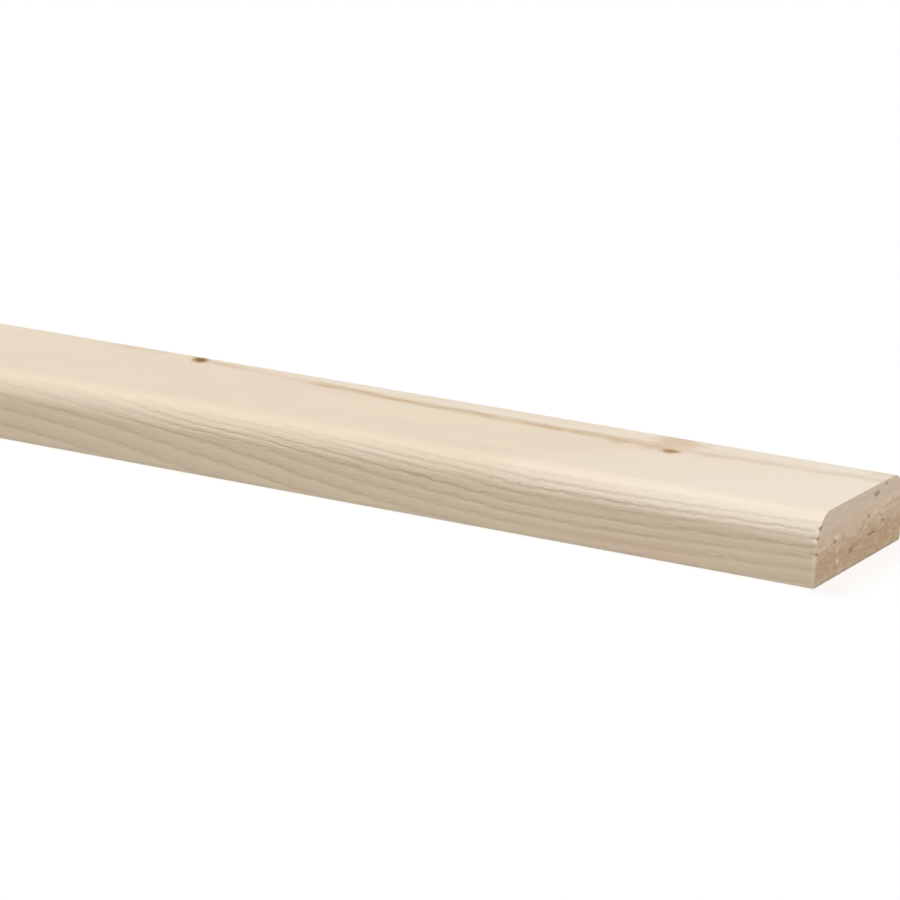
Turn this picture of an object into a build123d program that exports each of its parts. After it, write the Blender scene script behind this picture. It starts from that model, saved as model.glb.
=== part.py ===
from build123d import *
import os

# A flat cover strip: one length of planed softwood with a flat underside, both upper long
# edges rounded over and the lower edges left sharp. Both ends are sawn off square.
# X runs along the strip, Y across it and Z up. The origin is the middle of the underside.

# Driving dimensions, in millimetres
length = 2400
width = 38
thickness = 12
edge_radius = 5

# The planed section, drawn as the strip's end shows it, with its underside on the X axis
blank = Rectangle(width, thickness, align=(Align.CENTER, Align.MIN))
upper_corners = blank.vertices().group_by(Axis.Y)[-1]
section = fillet(upper_corners, edge_radius)

# The moulded length, run out equally to both sawn ends
cover_strip = extrude(Plane.YZ * section, length / 2, both=True)
cover_strip.label = "cover_strip"

os.makedirs("parts", exist_ok=True)
export_step(cover_strip, "parts/cover_strip.step")
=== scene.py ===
import math
import bpy
import numpy as np
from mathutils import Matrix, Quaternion, Vector


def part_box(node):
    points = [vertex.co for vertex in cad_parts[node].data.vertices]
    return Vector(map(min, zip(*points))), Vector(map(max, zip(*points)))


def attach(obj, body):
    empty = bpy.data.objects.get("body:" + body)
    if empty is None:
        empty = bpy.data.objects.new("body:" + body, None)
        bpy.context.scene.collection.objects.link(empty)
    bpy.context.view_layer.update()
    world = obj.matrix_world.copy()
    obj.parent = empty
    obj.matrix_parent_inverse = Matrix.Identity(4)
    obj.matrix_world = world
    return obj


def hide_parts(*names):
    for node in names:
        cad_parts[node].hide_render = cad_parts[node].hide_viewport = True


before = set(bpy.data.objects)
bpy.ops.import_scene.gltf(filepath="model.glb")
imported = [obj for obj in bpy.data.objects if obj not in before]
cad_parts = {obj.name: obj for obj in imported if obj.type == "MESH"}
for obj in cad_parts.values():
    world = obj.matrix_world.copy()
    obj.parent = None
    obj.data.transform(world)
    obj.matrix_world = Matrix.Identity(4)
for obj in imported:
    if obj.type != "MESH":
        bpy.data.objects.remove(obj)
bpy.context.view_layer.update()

# The cover strip: one length of planed spruce, run through a moulder that rounds its two upper
# long edges, and sawn off square at both ends. It is sawn flat from the log, so its growth rings
# run as thin lines along the edges, arch across the ends and hardly show on the broad faces.

# Sizes are in mm until the shape is done, and shares and strengths run from 0 to 1.
mm = 0.001
low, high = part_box("cover_strip")
length, width, thickness = ((top - bottom) / mm for bottom, top in zip(low, high))
edge_radius = 5
half_width = width / 2
shown_x = length / 2
round_from = thickness - edge_radius
round_middle = thickness - edge_radius / 2


class Field:
    """A number that varies over the wood. Arithmetic on fields adds Math nodes to their tree."""

    def __init__(self, tree, socket):
        self.tree = tree
        self.socket = socket

    def math(self, operation, *others):
        return math_node(self.tree, operation, self, *others)

    def __add__(self, other):
        return self.math("ADD", other)

    def __sub__(self, other):
        return self.math("SUBTRACT", other)

    def __rsub__(self, other):
        return math_node(self.tree, "SUBTRACT", other, self)

    def __mul__(self, other):
        return self.math("MULTIPLY", other)

    def __truediv__(self, other):
        return self.math("DIVIDE", other)

    def __neg__(self):
        return self * -1

    __radd__ = __add__
    __rmul__ = __mul__

    def ramp(self, start, end):
        """0 up to start and 1 from end on, with a smooth change between them."""
        entries = {"Value": self, "From Min": start, "From Max": end}
        made = add(self.tree, "ShaderNodeMapRange", entries, interpolation_type="SMOOTHSTEP")
        return Field(self.tree, made.outputs["Result"])

    def swing(self, height):
        """Noise from 0 to 1 turned into a swing of this height about 0."""
        return height * (self - 0.5)


def feed(tree, entry, value):
    """Gives a node's input a plain value, or links it to a field or socket."""
    if isinstance(value, Field):
        value = value.socket
    if isinstance(value, bpy.types.NodeSocket):
        tree.links.new(value, entry)
    else:
        entry.default_value = value


def add(tree, kind, entries=None, **settings):
    """Adds a node with these settings, and feeds its inputs by name or number."""
    made = tree.nodes.new(kind)
    for name, value in settings.items():
        setattr(made, name, value)
    for name, value in (entries or {}).items():
        feed(tree, made.inputs[name], value)
    return made


def math_node(tree, operation, *values):
    made = add(tree, "ShaderNodeMath", dict(enumerate(values)), operation=operation)
    return Field(tree, made.outputs[0])


def vector_node(tree, operation, *values):
    made = add(tree, "ShaderNodeVectorMath", dict(enumerate(values)), operation=operation)
    return made.outputs["Vector"]


def vector(tree, x, y, z):
    return add(tree, "ShaderNodeCombineXYZ", {0: x, 1: y, 2: z}).outputs[0]


def split(tree, socket):
    """The three parts of a vector."""
    made = add(tree, "ShaderNodeSeparateXYZ", {0: socket})
    return [Field(tree, part) for part in made.outputs]


def noise(tree, place, grain, seed, detail=2.0, roughness=0.5):
    """Soft noise from 0 to 1, in grains of these sizes along X, Y and Z, in mm."""
    scaled = vector_node(tree, "DIVIDE", place, grain)
    entries = {"Vector": scaled, "W": seed, "Scale": 1.0, "Detail": detail, "Roughness": roughness}
    made = add(tree, "ShaderNodeTexNoise", entries, noise_dimensions="4D")
    return Field(tree, made.outputs[0])


def apart(tree, place, middle, half_sizes):
    """How far a place lies from a spot's middle, where 1 is the spot's edge."""
    gap = vector_node(tree, "DIVIDE", vector_node(tree, "SUBTRACT", place, middle), half_sizes)
    made = add(tree, "ShaderNodeVectorMath", {0: gap}, operation="LENGTH")
    return Field(tree, made.outputs["Value"])


def stepped(field, steps):
    """A strength that each step changes by its share, between the step's start and its end."""
    strength = 0
    for start, end, share in steps:
        strength = strength + share * field.ramp(start, end)
    return strength


def mixed(tree, share, first, second, way="MIX"):
    """Two colours mixed by a share from 0 to 1."""
    entries = {0: share, 6: first, 7: second}
    made = add(tree, "ShaderNodeMix", entries, data_type="RGBA", blend_type=way)
    return made.outputs[2]


def shaded(tree, colour, shade):
    """A colour made lighter or darker by a factor."""
    return mixed(tree, 1.0, colour, vector(tree, shade, shade, shade), "MULTIPLY")


# The growth rings, as both materials read them: a fractional ring number becomes a thin dark line
# of latewood, and each ring has a tone of its own. The rings grow narrower towards the bark, and
# their lines stay about as wide.
ring_width = 2.14
ring_thinning = 0.0374
ring_phase = 0.23
line_width = 0.46
faintest_line = 0.45
rings_group = bpy.data.node_groups.new("growth_rings", "ShaderNodeTree")
rings_group.interface.new_socket("Ring", in_out="INPUT", socket_type="NodeSocketFloat")
rings_group.interface.new_socket("Waver", in_out="INPUT", socket_type="NodeSocketFloat")
rings_group.interface.new_socket("Number", in_out="OUTPUT", socket_type="NodeSocketFloat")
rings_group.interface.new_socket("Latewood", in_out="OUTPUT", socket_type="NodeSocketFloat")
rings_group.interface.new_socket("Tone", in_out="OUTPUT", socket_type="NodeSocketFloat")
ring_in = add(rings_group, "NodeGroupInput")
ring_out = add(rings_group, "NodeGroupOutput")
even_number = Field(rings_group, ring_in.outputs["Ring"])
narrowing = ((even_number - ring_phase) * (ring_thinning * ring_width)).math("EXPONENT")
rings_per_mm = narrowing / ring_width
ring_number = even_number + Field(rings_group, ring_in.outputs["Waver"]) * rings_per_mm
within_ring = ring_number.math("FRACT")
which_ring = (ring_number + 0.5).math("FLOOR")
own_tone = add(rings_group, "ShaderNodeTexWhiteNoise", {"W": which_ring}, noise_dimensions="1D")
ring_tone = Field(rings_group, own_tone.outputs["Value"])
line_share = line_width * rings_per_mm
late = within_ring.ramp(1 - line_share, 1) + within_ring.ramp(line_share, 0)
feed(rings_group, ring_out.inputs["Number"], ring_number)
feed(rings_group, ring_out.inputs["Latewood"], late * (faintest_line + (1 - faintest_line) * ring_tone))
feed(rings_group, ring_out.inputs["Tone"], ring_tone)


def new_material(name):
    """A material's tree, its Principled node, and the place on the wood in mm."""
    material = bpy.data.materials.new(name)
    material.use_nodes = True
    tree = material.node_tree
    shader = tree.nodes["Principled BSDF"]
    place = add(tree, "ShaderNodeTexCoord").outputs["Object"]
    return material, tree, shader, vector_node(tree, "MULTIPLY", place, (1 / mm,) * 3)


def rings_at(tree, place):
    """The ring number here, with the small waver that the lines have, its latewood and its tone."""
    stored = Field(tree, add(tree, "ShaderNodeAttribute", attribute_name="ring").outputs["Fac"])
    waver_grain = (2.0, 1.4, 1.4)
    waver_height = 1.4
    waver = noise(tree, place, waver_grain, seed=3, detail=3.0, roughness=0.6).swing(waver_height)
    made = add(tree, "ShaderNodeGroup", {"Ring": stored, "Waver": waver}, node_tree=rings_group)
    return [Field(tree, made.outputs[name]) for name in ("Number", "Latewood", "Tone")]


def line_fading(from_end, z):
    """The share of a line that is left on the rounded edges, which falls away from the shown end."""
    most_faded = 0.42
    return 1 - most_faded * from_end.ramp(115, 145) * z.ramp(round_from, round_from + 1.5)


def bumped(tree, shader, height):
    """Raises the surface by a height in mm."""
    made = add(tree, "ShaderNodeBump", {"Distance": mm, "Height": height})
    feed(tree, shader.inputs["Normal"], made.outputs["Normal"])


# The planed faces: pale earlywood, thin latewood lines, fine fibres, pin knots and one tan
# streak that runs past the knots near the back of the upper face. Painted light and sheen pale it by the
# end.
earlywood = (0.75, 0.612, 0.45, 1)
rosy = (0.75, 0.585, 0.437, 1)
creamy = (0.76, 0.63, 0.452, 1)
painted_end_light = (0.82, 0.71, 0.565, 1)
pale_wood_and_sheen = (0.80, 0.715, 0.60, 1)
latewood = (0.54, 0.395, 0.265, 1)
fleck_pale = (0.86, 0.74, 0.60, 1)
streak_tan = (0.55, 0.385, 0.22, 1)
knot_brown = (0.17, 0.088, 0.014, 1)
knot_edge = (0.44, 0.27, 0.10, 1)
rosy_edge = (0.81, 0.63, 0.50, 1)

planed, tree, shader, place = new_material("planed_spruce")
x, y, z = split(tree, place)
from_end = shown_x - x
ring, line, tone = rings_at(tree, place)
broad_face = z.ramp(thickness - 1.3, thickness - 0.3) + z.ramp(0.05, 0.0)
upper = z.ramp(round_from, round_middle)
upright = z.ramp(round_middle, round_from) * z.ramp(0.2, 0.6)
rounding = z.ramp(round_from - 1.5, round_from + 0.5) * z.ramp(thickness - 0.8, thickness - 3.2)

# The lines are strongest on the upright edges. They grow weaker up the rounding and low down near
# the shown end, and the broad faces have hardly any in the first stretch.
weakest_line = 0.55
stronger_by = 0.3
shown_broad_line = 0.04
more_beyond = 0.4
lost_up_rounding = 0.7
lost_near_end = 0.42
line_strength = weakest_line + stronger_by * noise(tree, place, (24, 4, 4), seed=4).ramp(0.32, 0.68)
broad_lines = shown_broad_line + more_beyond * from_end.ramp(170, 420)
up_rounding = z.ramp(round_from + 1, thickness - 1.2)
low_near_end = from_end.ramp(100, 70) * z.ramp(6.8, 5.4)
fading = line_fading(from_end, z)
lines = line * line_strength * (1 - broad_face * (1 - broad_lines))
lines = lines * (1 - lost_up_rounding * up_rounding) * (1 - lost_near_end * low_near_end) * fading

# The ground colour changes in long soft patches. Painted light and sheen make the upper faces paler by the
# end, along a slanted front.
early_patches = noise(tree, place, (45, 9, 9), seed=8).ramp(0.35, 0.65)
rosy_patches = noise(tree, place, (38, 7, 7), seed=9).ramp(0.45, 0.7)
end_slant = 0.86
end_light_steps = ((48, 37, 0.55), (38, 4, 0.45))
end_light_share = stepped(from_end + end_slant * y, end_light_steps)
colour = mixed(tree, early_patches, creamy, earlywood)
colour = mixed(tree, rosy_patches, colour, rosy)
# Painted light and sheen on the top and rounded edges by the shown end
colour = mixed(tree, end_light_share * upper, colour, painted_end_light)
# The upper faces lean to the pale colour: on the rounded edges this is painted sheen, and on the top a
# smaller share evens its tone.
colour = mixed(tree, upper * (0.36 - 0.24 * broad_face), colour, pale_wood_and_sheen)
colour = mixed(tree, lines, colour, latewood)

# The tan streak bends away to the back on both sides of one place, in mm from the shown end and
# across. The wood behind it is paler, with rosy spots, and a pale sheen is painted along the back edge.
streak_nearest = 50
streak_back = 6.6
streak_bend = 0.00085
streak_steps = ((140, 125, 0.28), (111, 106, 0.62), (47, 42, -0.5))
bend = from_end - streak_nearest
behind = y - (streak_back + streak_bend * bend * bend)
behind = behind + noise(tree, place, (6, 40, 40), seed=13).swing(1.2)
frayed = behind + noise(tree, place, (14, 0.8, 0.8), seed=18, detail=3.0).swing(1.6)
near_end = from_end.ramp(240, 150) * z.ramp(thickness - 2.5, thickness - 1)
painted_back_sheen = y.ramp(half_width - edge_radius, half_width - 1)
pale_patches = noise(tree, place, (14, 3, 3), seed=17).ramp(0.3, 0.6)
rosy_spots = noise(tree, place, (7, 1.6, 1.6), seed=19).ramp(0.48, 0.68)
colour = mixed(tree, behind.ramp(0.5, 3.5) * near_end * 0.6 * pale_patches, colour, pale_wood_and_sheen)
# Painted sheen along the back edge near the shown end
colour = mixed(tree, painted_back_sheen * near_end * 0.6, colour, pale_wood_and_sheen)
colour = mixed(tree, behind.ramp(0.5, 2) * near_end * 0.5 * rosy_spots, colour, rosy_edge)
mottle = 0.35 + 0.75 * noise(tree, place, (8, 0.8, 0.8), seed=14, detail=3.0).ramp(0.35, 0.6)
streak = frayed.ramp(-1.6, 0.5) * frayed.ramp(3.6, 0.7) * mottle
streak = streak * near_end * stepped(from_end, streak_steps)
colour = mixed(tree, streak, colour, streak_tan)

# Each stain by the knots: its distance from the shown end, its place across, its half sizes along
# and across, and its strength
stains = ((129.5, 12.3, 6, 1.6, 0.45), (148, 14, 9, 3.5, 0.3), (40, 6, 4.5, 2.2, 0.7),
          (38.5, 12.5, 6, 7, 0.65), (47, 5.8, 3, 2, 0.55), (30, 6.6, 4, 1.6, 0.35), (2, 14, 3.5, 3, 0.3))
for stain_from_end, stain_y, half_along, half_across, strength in stains:
    middle = (shown_x - stain_from_end, stain_y, thickness)
    reach = apart(tree, place, middle, (half_along, half_across, edge_radius))
    patchy = noise(tree, place, (2.5, 1.2, 1.2), seed=stain_from_end).swing(1.5)
    colour = mixed(tree, (reach + patchy).ramp(1.1, 0.2) * strength, colour, streak_tan)

# Each pin knot: its distance from the shown end, its place across, its half sizes along and across,
# its turn in degrees and how dark it is
pin_knots = ((134.0, 12.9, 1.4, 2.2, 30, 0.95), (36.8, 5.1, 1.6, 1.4, 27, 0.7),
             (431, -6.0, 1.9, 1.7, 0, 0.9), (742, 11.5, 1.4, 1.2, 15, 0.7),
             (1075, 2.5, 1.8, 1.7, 0, 0.9), (1388, -9.5, 1.5, 1.3, 0, 0.7),
             (1702, 7.0, 1.9, 1.8, 0, 0.9), (2043, -2.0, 1.8, 1.0, -20, 0.7),
             (2291, 10.0, 1.4, 1.4, 0, 0.8))
knotty = 0.35 * streak
for knot_from_end, knot_y, half_along, half_across, turn, darkness in pin_knots:
    middle = (shown_x - knot_from_end, knot_y, thickness)
    entries = {"Vector": place, "Center": middle, "Angle": -math.radians(turn)}
    unturned = add(tree, "ShaderNodeVectorRotate", entries, rotation_type="Z_AXIS").outputs[0]
    reach = apart(tree, unturned, middle, (half_along, half_across, edge_radius))
    reach = reach + noise(tree, place, (0.9, 0.7, 0.7), seed=knot_from_end).swing(1.2)
    ringed = reach.ramp(1.6, 0.6) * darkness
    knotty = knotty.math("MAXIMUM", ringed)
    colour = mixed(tree, ringed, colour, knot_edge)
    colour = mixed(tree, reach.ramp(1.1, 0.2) * darkness, colour, knot_brown)

# The planer has torn small pale flecks and dark dashes out of the upright edges. Each fleck with a
# place of its own has a distance from the shown end and a height.
placed_flecks = ((21.4, 5.9), (17.7, 2.9), (14.6, 2.6), (9.9, 5.1))
torn_out = noise(tree, place, (1.4, 0.45, 0.4), seed=15)
flecks = torn_out.ramp(0.70, 0.77) * upright
for fleck_from_end, fleck_z in placed_flecks:
    middle = (shown_x - fleck_from_end, -half_width, fleck_z)
    reach = apart(tree, place, middle, (0.9, 1.0, 0.3)) + 4 * (torn_out - 0.45)
    flecks = flecks.math("MAXIMUM", reach.ramp(1.2, 0.4) * 0.8)

# Each nick in the shown end's rim: its place across, its height, and how far its dash runs along
rim_nicks = ((-18.2, 9.6, 0.5), (-18.9, 8.0, 0.4), (-19.0, 5.5, 1.1))
dashes = torn_out.ramp(0.29, 0.23) * upright
for nick_y, nick_z, half_along in rim_nicks:
    reach = apart(tree, place, (shown_x, nick_y, nick_z), (half_along, 1.0, 0.3))
    dashes = dashes.math("MAXIMUM", (reach + torn_out.swing(1.5)).ramp(1.3, 0.5))
sawn_rim = (from_end + torn_out.swing(1.6)).ramp(0.9, 0.1) * upright
colour = mixed(tree, flecks * 0.7, colour, fleck_pale)
colour = mixed(tree, dashes * 0.6, colour, latewood)
colour = mixed(tree, sawn_rim * 0.4, colour, fleck_pale)

# Fine fibres and hairs run all along. The rounded edges are rippled ring by ring.
fibres = noise(tree, place, (26, 0.4, 0.4), seed=5, detail=3.0)
hairs = noise(tree, place, (5, 0.22, 0.22), seed=6)
ripples = noise(tree, vector(tree, x / 9, ring * 1.5, 0.0), (1, 1, 1), seed=16, detail=1.0)
ripples = (ripples - 0.5) * rounding * fading
# The broad faces are made a little darker by painted shade that tones down their light.
shade = 0.93 + 0.07 * fibres + 0.05 * hairs + 0.02 * tone - 0.025 * broad_face
height = 0.18 * ripples - 0.025 * lines - 0.05 * flecks - 0.05 * dashes + 0.012 * fibres
feed(tree, shader.inputs["Base Color"], shaded(tree, colour, shade))
feed(tree, shader.inputs["Roughness"], 0.38 + 0.12 * fibres + 0.45 * knotty)
bumped(tree, shader, height)

# The sawn ends: the fibres are cut across, so they take up more dirt and look darker. The saw has
# torn the lower half, which is browner, with pits and pale ends of fibre lying about.
end_pale = (0.785, 0.625, 0.475, 1)
end_brown = (0.60, 0.41, 0.245, 1)
end_low = (0.62, 0.47, 0.34, 1)
torn_pale = (0.75, 0.57, 0.385, 1)
end_line = (0.50, 0.35, 0.22, 1)
contact_shade_grey = (0.42, 0.36, 0.31, 1)
pit_brown = (0.33, 0.205, 0.12, 1)
chip_pale = (0.92, 0.78, 0.61, 1)

sawn, tree, shader, place = new_material("sawn_end_grain")
x, y, z = split(tree, place)
ring, line, tone = rings_at(tree, place)
patches = noise(tree, place, (5, 3.5, 1.8), seed=21, detail=3.0)
crumbs = noise(tree, place, (1, 1.1, 0.6), seed=25, detail=1.0)
blotches = noise(tree, place, (2, 2.2, 1.0), seed=27, detail=1.0)
saw_slope = 0.2
scratches = noise(tree, vector(tree, x, y, z + saw_slope * y), (2, 4, 0.5), seed=23, detail=1.0)

# How the end changes with height: torn and brown below, a paler band low down, and a grey lower rim of
# painted contact shade
tear_slope = 0.06
torn = (z - tear_slope * y + patches.swing(3)).ramp(8.2, 6.4)
brown_steps = ((9, 7.2, 0.35), (6.6, 3.4, 0.65))
browned = stepped(z + patches.swing(4), brown_steps)
low_band = (z + patches.swing(2)).ramp(2.4, 0.8) * (0.35 + 0.45 * y.ramp(0, -9))
contact_shade_rim = (z + patches.swing(0.5)).ramp(0.6, 0.1)
front_rim = (y + blotches.swing(0.8)).ramp(0.9 - half_width, 0.2 - half_width)
colour = mixed(tree, browned, end_pale, end_brown)
colour = mixed(tree, low_band, colour, end_low)
# Painted contact shade along the end's lower rim
colour = mixed(tree, contact_shade_rim * 0.7, colour, contact_shade_grey)
colour = mixed(tree, line * 0.1, colour, end_line)
colour = mixed(tree, blotches.ramp(0.5, 0.34) * (0.08 + 0.4 * torn), colour, end_line)
colour = mixed(tree, blotches.ramp(0.52, 0.66) * torn * 0.4, colour, torn_pale)
colour = mixed(tree, crumbs.ramp(0.66, 0.74) * torn * 0.6, colour, torn_pale)
colour = mixed(tree, front_rim * 0.7, colour, torn_pale)
colour = mixed(tree, crumbs.ramp(0.34, 0.26) * torn * 0.25, colour, end_line)

# Each pit in the shown end: its place across, its height and its half sizes across and up
pits = ((6.6, 10.4, 1.3, 0.45), (10.7, 11.3, 0.6, 0.3), (-3.8, 3.0, 0.9, 0.5), (-11.2, 6.1, 0.8, 0.35),
        (3.5, 7.2, 0.6, 0.3), (10.3, 5.2, 0.7, 0.3), (5.3, 3.9, 2.2, 0.22), (-17.6, 9.6, 0.7, 0.5),
        (-18.4, 8.0, 0.6, 0.3), (-18.7, 5.5, 0.6, 0.3))
spot_depth = 2
pitted = None
for pit_y, pit_z, half_across, half_up in pits:
    reach = apart(tree, place, (shown_x, pit_y, pit_z), (spot_depth, half_across, half_up))
    pit = (reach + crumbs.swing(1.4)).ramp(1.4, 0.3)
    pitted = pit if pitted is None else pitted.math("MAXIMUM", pit)
colour = mixed(tree, pitted * 0.75, colour, pit_brown)

# Each pale chip beside a pit: its place across, its height, its half sizes across and up, and its
# strength
pale_chips = ((-9.5, 2.5, 0.7, 0.45, 0.95), (-10.3, 6.8, 1.1, 0.4, 0.55), (10.0, 6.8, 1.2, 0.35, 0.5),
              (6.5, 7.4, 0.9, 0.35, 0.45), (-14.5, 7.4, 0.9, 0.3, 0.4), (-9.8, 4.5, 0.6, 0.9, 0.35))
for chip_y, chip_z, half_across, half_up, strength in pale_chips:
    reach = apart(tree, place, (shown_x, chip_y, chip_z), (spot_depth, half_across, half_up))
    chip = (reach + crumbs.swing(1.2)).ramp(1.3, 0.5)
    colour = mixed(tree, chip * strength, colour, chip_pale)
shade = 0.93 + (0.03 + 0.04 * torn) * scratches + 0.08 * patches
height = (0.02 + 0.02 * torn) * scratches + torn * (0.05 * crumbs + 0.15 * blotches) - 0.08 * pitted
feed(tree, shader.inputs["Base Color"], shaded(tree, colour, shade))
feed(tree, shader.inputs["Roughness"], 0.75 + 0.2 * patches)
bumped(tree, shader, height)

# The shape: a fine box is rounded into the moulded section, numbered ring by ring, and then worn.
# Every change goes into the wood, so the strip stays within its planed size.
moulding = bpy.data.node_groups.new("strip_moulding", "GeometryNodeTree")
moulding.interface.new_socket("Geometry", in_out="OUTPUT", socket_type="NodeSocketGeometry")
sizes = {"Length": length, "Width": width, "Thickness": thickness, "Edge Radius": edge_radius,
         "Raised Grain": 0.05, "Saw Depth": 0.14, "Arris Wear": 0.14}
sockets = {}
for name in sizes:
    sockets[name] = moulding.interface.new_socket(name, in_out="INPUT", socket_type="NodeSocketFloat")
entry = add(moulding, "NodeGroupInput")
size = {name: Field(moulding, entry.outputs[name]) for name in sizes}
place = add(moulding, "GeometryNodeInputPosition").outputs[0]
x, y, z = split(moulding, place)

# The box's cuts lie close together near the shown end and where the edges are rounded.
cuts_along = 480
closest_cut = 0.6
flat_cuts = 12
upright_cuts = 12
round_cuts = 14
cuts_across = 2 * (flat_cuts + round_cuts)
cuts_up = upright_cuts + round_cuts


def spaced(step, first_cuts, first_span, round_span):
    """A cut's place, where the first cuts share one span and the round cuts share the next."""
    plain = step.math("MINIMUM", first_cuts) * (first_span / first_cuts)
    return plain + (step - first_cuts).math("MAXIMUM", 0) * (round_span / round_cuts)


box_size = vector(moulding, size["Length"], size["Width"], size["Thickness"])
cuts = {"Vertices X": cuts_along + 1, "Vertices Y": cuts_across + 1, "Vertices Z": cuts_up + 1}
box = add(moulding, "GeometryNodeMeshCube", {"Size": box_size, **cuts})
share = 0.5 - x / size["Length"]
close = closest_cut * cuts_along
from_end = share * (close + (size["Length"] - close) * share)
flat_half = size["Width"] / 2 - size["Edge Radius"]
upright_span = size["Thickness"] - size["Edge Radius"]
step_across = y.math("ABSOLUTE") * cuts_across / size["Width"]
step_up = (z / size["Thickness"] + 0.5) * cuts_up
across = spaced(step_across, flat_cuts, flat_half, size["Edge Radius"])
up = spaced(step_up, upright_cuts, upright_span, size["Edge Radius"])

# A square corner's rings of points become round ones.
past_side = (across - flat_half).math("MAXIMUM", 0)
past_top = (up - upright_span).math("MAXIMUM", 0)
reach = (past_side * past_side + past_top * past_top).math("SQRT")
least_reach = 0.001
pull = past_side.math("MAXIMUM", past_top) / reach.math("MAXIMUM", least_reach) - 1
moulded = vector(moulding, size["Length"] / 2 - from_end, y.math("SIGN") * (across + past_side * pull),
                 up + past_top * pull)
shape = add(moulding, "GeometryNodeSetPosition", {"Geometry": box.outputs[0], "Position": moulded})


def marked(shape, name, value, kind, domain):
    """A shape with a named value on its points, faces or instances."""
    entries = {"Geometry": shape.outputs[0], "Name": name, "Value": value}
    return add(moulding, "GeometryNodeStoreNamedAttribute", entries, data_type=kind, domain=domain)


# How far the grain has risen at these distances from the shown end, in mm
grain_rise = ((0, 1.6), (18, 0.8), (30, 0.25), (43, 0), (62, 0.9), (110, 6.0), (157, 10.7), (260, 15),
              (520, 9), (800, 15), (1150, 5), (1500, 12), (1850, 3), (2150, 9), (2400, 4))
highest_rise = 16
from_end = size["Length"] / 2 - x
curve = add(moulding, "ShaderNodeFloatCurve", {"Value": (from_end / size["Length"]).math("SQRT")})
points = curve.mapping.curves[0].points
for number, (distance, rise) in enumerate(grain_rise):
    spot = math.sqrt(distance / length), rise / highest_rise
    if number in (0, len(grain_rise) - 1):
        points[0 if number == 0 else -1].location = spot
    else:
        points.new(*spot)
curve.mapping.update()
rise = Field(moulding, curve.outputs[0]) * highest_rise

# The rings bow round the log's heart, wander a little and lean at the front edge. Near the shown
# end the grain rises more the higher it lies on the upright edge, and less on the rounding. It
# rises less towards the back.
heart_y = 8
log_radius = 120
edge_lean = 0.5
fan_from = 5
fan_per_mm = 0.03
fan_lost = 0.8
most_squeeze = 0.45
squeeze_lost = 0.9
lost_at_back = 0.55
bow = ((y - heart_y) * (y - heart_y) - (half_width + heart_y) ** 2) / (2 * log_radius)
wander = noise(moulding, place, (60, 14, 14), seed=31).swing(0.9)
leaning = edge_lean * (y + half_width).math("MINIMUM", edge_radius)
straight = from_end.ramp(105, 150)
fan = 1 + fan_per_mm * (1 - fan_lost * straight) * (z - fan_from)
squeeze = 1 - most_squeeze * (1 - squeeze_lost * straight) * z.ramp(6, 11)
fanned = rise * fan * squeeze * (1 - lost_at_back * y.ramp(-14, 12))
in_log = z + leaning - fanned + bow + wander
ring = (1 - ring_thinning * in_log).math("LOGARITHM", math.e) / (-ring_thinning * ring_width) + ring_phase
shape = marked(shape, "ring", ring, "FLOAT", "POINT")

# The latewood is left in fine grooves where the rounded edges cut it. The lower edges are worn,
# the end's rims are nicked, and the saw has left the ends uneven.
groove_from = half_width - edge_radius * 0.3
groove_full = half_width - edge_radius * 0.12
groove_sharpness = 1.5
skin = 0.05
nick_depth = 0.3
nick_half_sizes = (0.9, 0.9, 0.5)
least_saw_cut = 0.3
normal = add(moulding, "GeometryNodeInputNormal").outputs[0]
sideways = y.math("ABSOLUTE")
grooved = sideways.ramp(groove_from, groove_full) * z.ramp(0, 0.6)
groove = (0.5 + 0.5 * (ring * math.tau).math("COSINE")).math("POWER", groove_sharpness)
groove = size["Raised Grain"] * grooved * groove * line_fading(from_end, z)
arris = sideways.ramp(half_width - skin, half_width) * z.ramp(skin, 0)
wear = size["Arris Wear"] * arris * noise(moulding, place, (7, 7, 7), seed=35, detail=3.0)
at_end = x.math("ABSOLUTE").ramp(shown_x - skin, shown_x)
rim = sideways.ramp(half_width - 0.3, half_width) * z.ramp(0.6, 1.8)
nicks = noise(moulding, place, (2, 2, 0.9), seed=37).ramp(0.56, 0.74) * at_end * rim
for nick_y, nick_z, _ in rim_nicks:
    nick = apart(moulding, place, (shown_x, nick_y, nick_z), nick_half_sizes).ramp(1, 0.2)
    nicks = nicks.math("MAXIMUM", nick)
sunk = groove + wear + nick_depth * nicks
inwards = add(moulding, "ShaderNodeVectorMath", {0: normal, "Scale": -sunk}, operation="SCALE")
saw_marks = noise(moulding, place, (3, 2.2, 1.1), seed=39, detail=3.0)
saw_cut = -(x.math("SIGN") * at_end * size["Saw Depth"] * (least_saw_cut + saw_marks))
worn = vector_node(moulding, "ADD", inwards.outputs[0], vector(moulding, saw_cut, 0.0, 0.0))
shape = add(moulding, "GeometryNodeSetPosition", {"Geometry": shape.outputs[0], "Offset": worn})

# The end faces are marked, and the edges that turn sharply stay sharp.
end_facing = 0.7
sharp_from = math.radians(50)
facing = split(moulding, normal)[0].math("ABSOLUTE")
end_faces = add(moulding, "FunctionNodeCompare", {"A": facing, "B": end_facing},
                operation="GREATER_THAN").outputs[0]
shape = marked(shape, "sawn", end_faces, "BOOLEAN", "FACE")
edge_angle = Field(moulding, add(moulding, "GeometryNodeInputMeshEdgeAngle").outputs[0])
sharp = add(moulding, "FunctionNodeCompare", {"A": edge_angle, "B": sharp_from}, operation="GREATER_THAN")
shape = add(moulding, "GeometryNodeSetShadeSmooth",
            {0: shape.outputs[0], "Selection": sharp.outputs[0], "Shade Smooth": False}, domain="EDGE")

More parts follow.
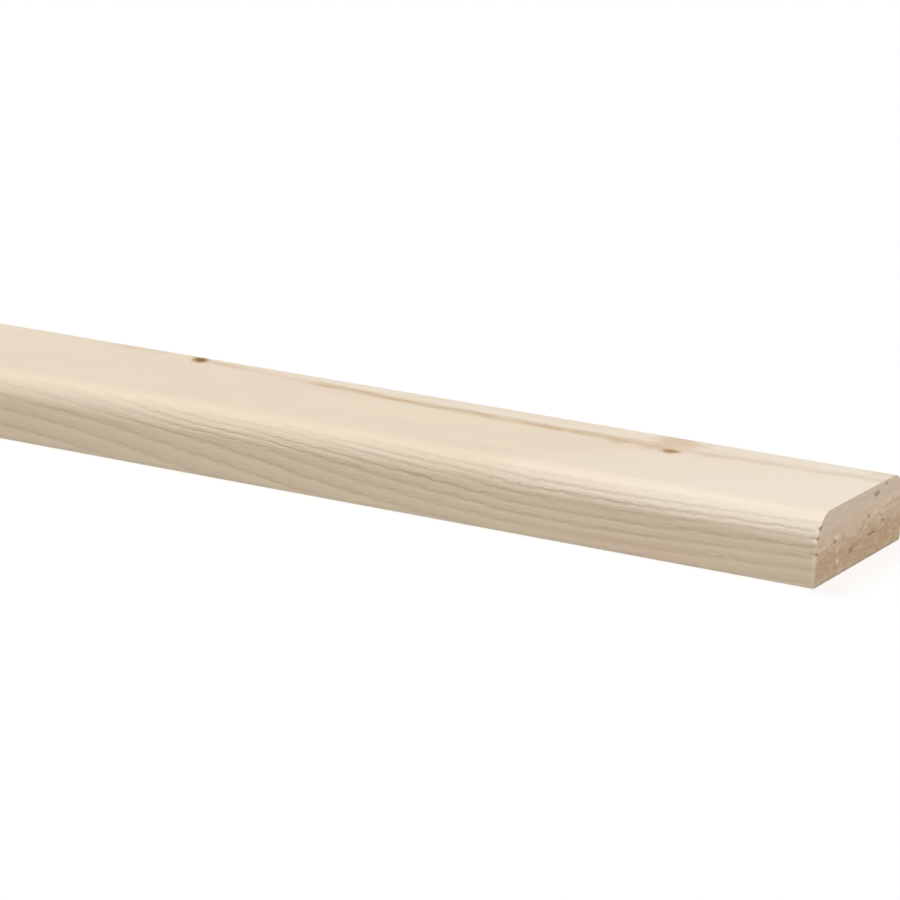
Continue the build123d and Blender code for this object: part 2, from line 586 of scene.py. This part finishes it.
# Torn fibres lie on the sawn ends, mostly low on the face. Their points carry the end faces' mark,
# so they take the sawn finish. Their ring number lies between two lines, so they are pale.
fibre_density = 0.08
fibre_ring = 0.4
least_angles = (1.2, -0.3, 0)
most_angles = (1.5, 0.3, math.tau)
least_stretch = 0.5
most_stretch = 1.1
low_end = z.ramp(8, 5)
spots = add(moulding, "GeometryNodeDistributePointsOnFaces",
            {"Mesh": shape.outputs[0], "Selection": end_faces, "Density": fibre_density * (0.15 + low_end),
             "Seed": 7})
fibre = add(moulding, "GeometryNodeMeshCone",
            {"Vertices": 5, "Side Segments": 2, "Radius Top": 0.02, "Radius Bottom": 0.08, "Depth": 0.7})
fibre_angles = add(moulding, "FunctionNodeRandomValue",
                   {0: least_angles, 1: most_angles, "Seed": 9}, data_type="FLOAT_VECTOR")
fibre_turn = add(moulding, "FunctionNodeEulerToRotation", {0: fibre_angles.outputs[0]})
turned = add(moulding, "FunctionNodeRotateRotation",
             {"Rotation": spots.outputs["Rotation"], "Rotate By": fibre_turn.outputs[0]},
             rotation_space="LOCAL")
stretch = add(moulding, "FunctionNodeRandomValue",
              {2: least_stretch, 3: most_stretch, "Seed": 11}, data_type="FLOAT")
torn_fibres = add(moulding, "GeometryNodeInstanceOnPoints",
                  {"Points": spots.outputs["Points"], "Instance": fibre.outputs[0],
                   "Rotation": turned.outputs[0], "Scale": stretch.outputs[1]})
torn_fibres = marked(torn_fibres, "ring", fibre_ring, "FLOAT", "INSTANCE")

# The whole is made real, held within the planed size and given its two finishes.
whole = add(moulding, "GeometryNodeJoinGeometry")
moulding.links.new(shape.outputs[0], whole.inputs[0])
moulding.links.new(torn_fibres.outputs[0], whole.inputs[0])
real = add(moulding, "GeometryNodeRealizeInstances", {0: whole.outputs[0]})
low_corner = vector(moulding, -size["Length"] / 2, -size["Width"] / 2, 0.0)
high_corner = vector(moulding, size["Length"] / 2, size["Width"] / 2, size["Thickness"])
held = vector_node(moulding, "MINIMUM", vector_node(moulding, "MAXIMUM", place, low_corner), high_corner)
in_metres = vector_node(moulding, "DIVIDE", held, (1 / mm,) * 3)
real = add(moulding, "GeometryNodeSetPosition", {"Geometry": real.outputs[0], "Position": in_metres})
real = add(moulding, "GeometryNodeSetMaterial", {"Geometry": real.outputs[0], "Material": planed})
is_sawn = add(moulding, "GeometryNodeInputNamedAttribute", {"Name": "sawn"}, data_type="BOOLEAN")
real = add(moulding, "GeometryNodeSetMaterial",
           {"Geometry": real.outputs[0], "Selection": is_sawn.outputs[0], "Material": sawn})
add(moulding, "NodeGroupOutput", {"Geometry": real.outputs[0]})

# The box comes with an empty first material slot, which is taken out of the finished mesh.
strip = bpy.data.objects.new("cover_strip_wood", bpy.data.meshes.new("cover_strip_wood"))
bpy.context.scene.collection.objects.link(strip)
modifier = strip.modifiers.new("moulding", "NODES")
modifier.node_group = moulding
for name, value in sizes.items():
    modifier[sockets[name].identifier] = float(value)
shaped = strip.evaluated_get(bpy.context.evaluated_depsgraph_get())
mesh = bpy.data.meshes.new_from_object(shaped)
mesh.materials.pop(index=0)
strip.modifiers.clear()
strip.data = mesh


def numbers(items, name, wide=1, kind=np.float32):
    """One setting of every item, in columns."""
    found = np.empty(len(items) * wide, kind)
    items.foreach_get(name, found)
    return found.reshape(-1, wide).T


# The map that the finish can be stored in, in pixels of a square sheet. Each corner of a face has a
# place along the strip and a place around its section, from the middle of the upper face.
corner_counts = numbers(mesh.polygons, "loop_total", kind=np.int32)[0]
corner_face = np.repeat(np.arange(len(corner_counts)), corner_counts)
corner_point = numbers(mesh.loops, "vertex_index", kind=np.int32)[0]
corner_x, corner_y, corner_z = numbers(mesh.vertices, "co", 3)[:, corner_point] / mm
corner_along = shown_x - corner_x
half_flat = half_width - edge_radius
past_flat = np.maximum(np.abs(corner_y) - half_flat, 0)
past_upright = np.maximum(corner_z - round_from, 0)
from_middle = np.minimum(np.abs(corner_y), half_flat) + edge_radius * np.arctan2(past_flat, past_upright)
from_middle = from_middle + np.maximum(round_from - corner_z, 0)
corner_around = np.copysign(from_middle, corner_y)
whole_way = 2 * (half_flat + edge_radius * math.pi / 2 + round_from)

# The faces are sorted into torn fibres, sawn ends, the underside and the rest.
ring_of_point = numbers(mesh.attributes["ring"].data, "value")[0]
on_fibre = np.zeros(len(corner_counts), bool)
on_fibre[corner_face[ring_of_point[corner_point] == np.float32(fibre_ring)]] = True
finishes = numbers(mesh.polygons, "material_index", kind=np.int32)[0]
on_end = (finishes == mesh.materials.find(sawn.name)) & ~on_fibre
faces_down = -0.7
under = numbers(mesh.polygons, "normal", 3)[2] < faces_down
middle_x = numbers(mesh.polygons, "center", 3)[0] / mm

# Each row of the map: where it starts and ends along the strip, in mm, and the heights of its upper
# part and its underside, in pixels. The stretch by the shown end has the tallest row.
map_rows = ((0, 200, 290, 58), (200, 930, 116, 40), (930, 1660, 116, 40), (1660, length, 116, 40))
map_size = 1024
map_gap = 8
map_places = np.zeros((len(corner_point), 2))
row_start = map_gap
for start, end, upper_height, under_height in map_rows:
    in_row = (shown_x - middle_x >= start) & (shown_x - middle_x < end) & ~on_end & ~on_fibre
    upper_part = (in_row & ~under, -corner_around, whole_way, upper_height)
    under_part = (in_row & under, corner_y, width, under_height)
    for faces, sideways_place, span, part_height in (upper_part, under_part):
        chosen = faces[corner_face]
        along = corner_along[chosen] - corner_along[chosen].min()
        map_places[chosen, 0] = map_gap + along / along.max() * (map_size - 2 * map_gap)
        map_places[chosen, 1] = row_start + (sideways_place[chosen] / span + 0.5) * part_height
        row_start += part_height + map_gap

# Each sawn end, beyond the rows: which end it is, its left edge and its pixels per mm
for end_sign, left, pixels_per_mm in ((1, map_gap, 8), (-1, 330, 4)):
    chosen = (on_end & (end_sign * middle_x > 0))[corner_face]
    map_places[chosen, 0] = left + (end_sign * corner_y[chosen] + half_width) * pixels_per_mm
    map_places[chosen, 1] = row_start + corner_z[chosen] * pixels_per_mm

# Each facet of a torn fibre has its corners on a small circle in a cell of its own.
cell = 5
cell_radius = 0.4
cells_across = 100
cells_left = 500
first_corner = np.cumsum(corner_counts) - corner_counts
corner_turn = (np.arange(len(corner_point)) - first_corner[corner_face]) / corner_counts[corner_face]
chosen = on_fibre[corner_face]
cell_number = (np.cumsum(on_fibre) - 1)[corner_face][chosen]
turns = corner_turn[chosen] * math.tau
cell_x = cell_number % cells_across + 0.5 + cell_radius * np.cos(turns)
cell_y = cell_number // cells_across + 0.5 + cell_radius * np.sin(turns)
map_places[chosen, 0] = cells_left + cell * cell_x
map_places[chosen, 1] = row_start + cell * cell_y
bake_map = mesh.uv_layers.new(name="OFBake")
bake_map.data.foreach_set("uv", (map_places / map_size).astype(np.float32).ravel())
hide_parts("cover_strip")
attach(strip, "root")


# The floor: a plain white sheet that the strip lies on. It reads as white from the camera and in
# gloss, keeps the strip's soft shadow, and sends back less light than it shows.
def seen_itself(tree):
    """1 where a surface is seen, straight, in gloss or through glass, and 0 where it only lights."""
    path = add(tree, "ShaderNodeLightPath")
    seen = math_node(tree, "MAXIMUM", path.outputs["Is Camera Ray"], path.outputs["Is Glossy Ray"])
    return seen.math("MAXIMUM", path.outputs["Is Transmission Ray"])


floor_half = 6000 * mm
floor_drop = 0.02 * mm
bounce = 0.32
glow = 0.4
white = (1, 1, 1, 1)
floor_mesh = bpy.data.meshes.new("floor")
corners = [(-floor_half, -floor_half, 0), (floor_half, -floor_half, 0), (floor_half, floor_half, 0),
           (-floor_half, floor_half, 0)]
floor_mesh.from_pydata(corners, [], [(0, 1, 2, 3)])
floor = bpy.data.objects.new("floor", floor_mesh)
bpy.context.scene.collection.objects.link(floor)
floor.location.z = -floor_drop
paper = bpy.data.materials.new("white_sheet")
paper.use_nodes = True
tree = paper.node_tree
tree.nodes.clear()
shown = seen_itself(tree)
sheet_colour = mixed(tree, shown, (bounce, bounce, bounce, 1), white)
lit = add(tree, "ShaderNodeBsdfDiffuse", {"Color": sheet_colour})
bright = add(tree, "ShaderNodeEmission", {"Color": white, "Strength": 1.0})
both = add(tree, "ShaderNodeMixShader", {0: shown * glow, 1: lit.outputs[0], 2: bright.outputs[0]})
add(tree, "ShaderNodeOutputMaterial", {"Surface": both.outputs[0]})
floor_mesh.materials.append(paper)


# The light: a broad soft key from the front and the shown end, a softer lamp overhead whose
# sheen lies on the rounded edge, and an even sky.
def soft_lamp(name, comes_from, energy, spread):
    """A far soft lamp that shines from this direction."""
    lamp = bpy.data.objects.new(name, bpy.data.lights.new(name, "SUN"))
    bpy.context.scene.collection.objects.link(lamp)
    lamp.rotation_euler = Vector(comes_from).to_track_quat("Z", "Y").to_euler()
    lamp.data.energy = energy
    lamp.data.angle = math.radians(spread)


soft_lamp("key", (0.5, -0.472, 0.727), energy=2.58, spread=30)
soft_lamp("overhead", (-0.44, 0.226, 0.868), energy=0.6, spread=35)

sky_fill = 0.24
world = bpy.data.worlds.new("sky")
world.use_nodes = True
bpy.context.scene.world = world
tree = world.node_tree
sky = tree.nodes["Background"]
feed(tree, sky.inputs["Strength"], sky_fill + (1 - sky_fill) * seen_itself(tree))
sky.inputs["Color"].default_value = white

# The camera: a long lens, in front of the strip and past its shown end, looking down on it.
camera = bpy.data.objects.new("camera", bpy.data.cameras.new("camera"))
bpy.context.scene.collection.objects.link(camera)
bpy.context.scene.camera = camera
camera.data.sensor_width = 36
camera.data.sensor_fit = "HORIZONTAL"
camera.data.lens = 147.56
camera.data.clip_start = 0.05
camera_place = Vector((1403.6, -548.53, 158.27))
looks_at = Vector((1133.43, -18.05, 11.94))
camera_roll = math.radians(3.05)
gaze = looks_at - camera_place
camera.location = camera_place * mm
camera.rotation_euler = (gaze.to_track_quat("-Z", "Y") @ Quaternion((0, 0, 1), camera_roll)).to_euler()

bpy.context.scene.view_settings.view_transform = "Standard"
